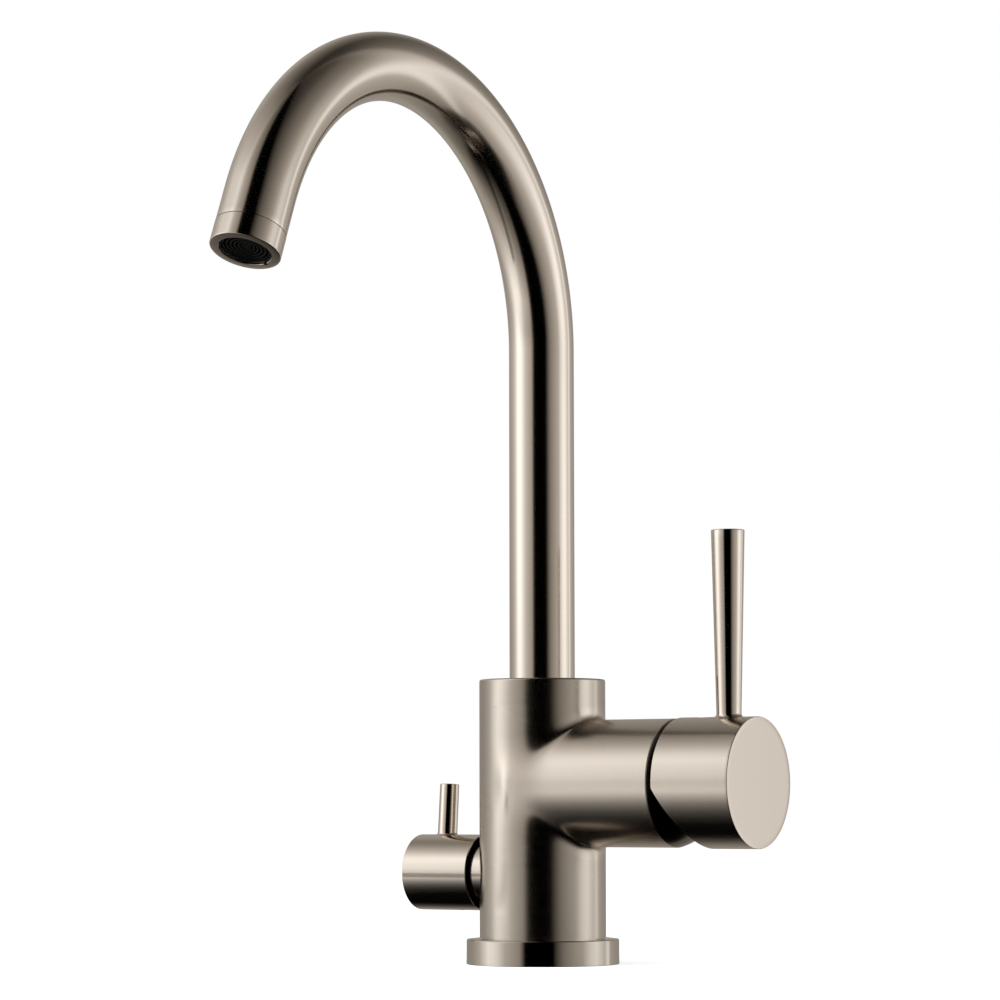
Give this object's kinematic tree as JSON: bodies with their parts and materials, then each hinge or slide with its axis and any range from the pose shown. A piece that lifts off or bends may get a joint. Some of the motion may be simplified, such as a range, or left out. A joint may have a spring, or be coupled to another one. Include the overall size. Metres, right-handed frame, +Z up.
{
  "type": "gooseneck bar faucet",
  "caption": "Single-lever kitchen tap with a high swivelling gooseneck spout, a side lever with a thin rod and a quarter-turn dishwasher shut-off valve.",
  "frame": {"origin": "centre of the foot on the deck, midway between the two fixing studs", "axes": "+Z up along the column and the spout's swivel axis, -Y along the spout's reach, +X towards the mixer lever"},
  "size_m": [0.1494, 0.2312, 0.341],
  "materials": {
    "brushed_nickel": "warm brushed nickel, clear coated",
    "bright_nickel": "polished warm nickel",
    "brass": "turned",
    "black_plastic": "moulded",
    "guide_plastic": "moulded, white",
    "rubber": "matt black",
    "ceramic": "lapped alumina",
    "steel": "plain stainless"
  },
  "bodies": {
    "column": {"mixer_body": "brushed_nickel", "base_ring": "brushed_nickel", "base_seal": "rubber", "upper_guide_ring": "guide_plastic", "spout_stop_screw": "steel", "cartridge_base": "black_plastic", "cartridge_port_seals": "rubber", "cartridge_fixed_disc": "ceramic", "cartridge_shell": "guide_plastic", "cartridge_nut": "brass", "cover_dome": "bright_nickel", "valve_headwork": "brass", "valve_seat_seal": "rubber", "valve_fixed_disc": "ceramic", "valve_collar": "brushed_nickel"},
    "spout": {"spout_tube": "brushed_nickel", "spout_foot": "brass", "lower_guide_ring": "guide_plastic", "spout_o_rings": "rubber", "aerator_shell": "brushed_nickel", "aerator_insert": "black_plastic", "aerator_screen": "steel", "aerator_seal": "rubber"},
    "rotor": {"cartridge_rotor": "guide_plastic", "spindle_pin": "steel"},
    "lever": {"lever_cap": "brushed_nickel", "lever_rod": "brushed_nickel", "lever_spindle": "steel", "lever_grub_screw": "steel", "lever_plug": "black_plastic"},
    "disc": {"cartridge_moving_disc": "ceramic", "cartridge_carrier": "black_plastic"},
    "valve": {"valve_knob": "brushed_nickel", "valve_pin": "brushed_nickel", "valve_grub_screw": "steel", "valve_spindle": "brass", "valve_turning_disc": "ceramic", "valve_stem_o_ring": "rubber", "valve_clip": "steel"}
  },
  "joints": [
    {"name": "spout_swivel", "type": "hinge", "parent": "column", "child": "spout", "pos_m": [0, 0, 0.09], "axis": [0, 0, 1], "range_deg": [-60, 60]},
    {"name": "temperature_turn", "type": "hinge", "parent": "column", "child": "rotor", "pos_m": [0.0528, 0, 0.0683], "axis": [1, 0, 0], "range_deg": [-50, 50]},
    {"name": "lever_tilt", "type": "hinge", "parent": "rotor", "child": "lever", "pos_m": [0.0528, 0, 0.0683], "axis": [0, 1, 0], "range_deg": [0, 25]},
    {"name": "disc_slide", "type": "slide", "parent": "rotor", "child": "disc", "axis": [0, 0, 1], "range_m": [0, 0.0064]},
    {"name": "dishwasher_turn", "type": "hinge", "parent": "column", "child": "valve", "pos_m": [-0.035, 0, 0.0343], "axis": [1, 0, 0], "range_deg": [0, 90]}
  ],
  "couplings": [
    {"joint": "disc_slide", "follows": "lever_tilt", "m_per_rad": 0.014385}
  ]
}
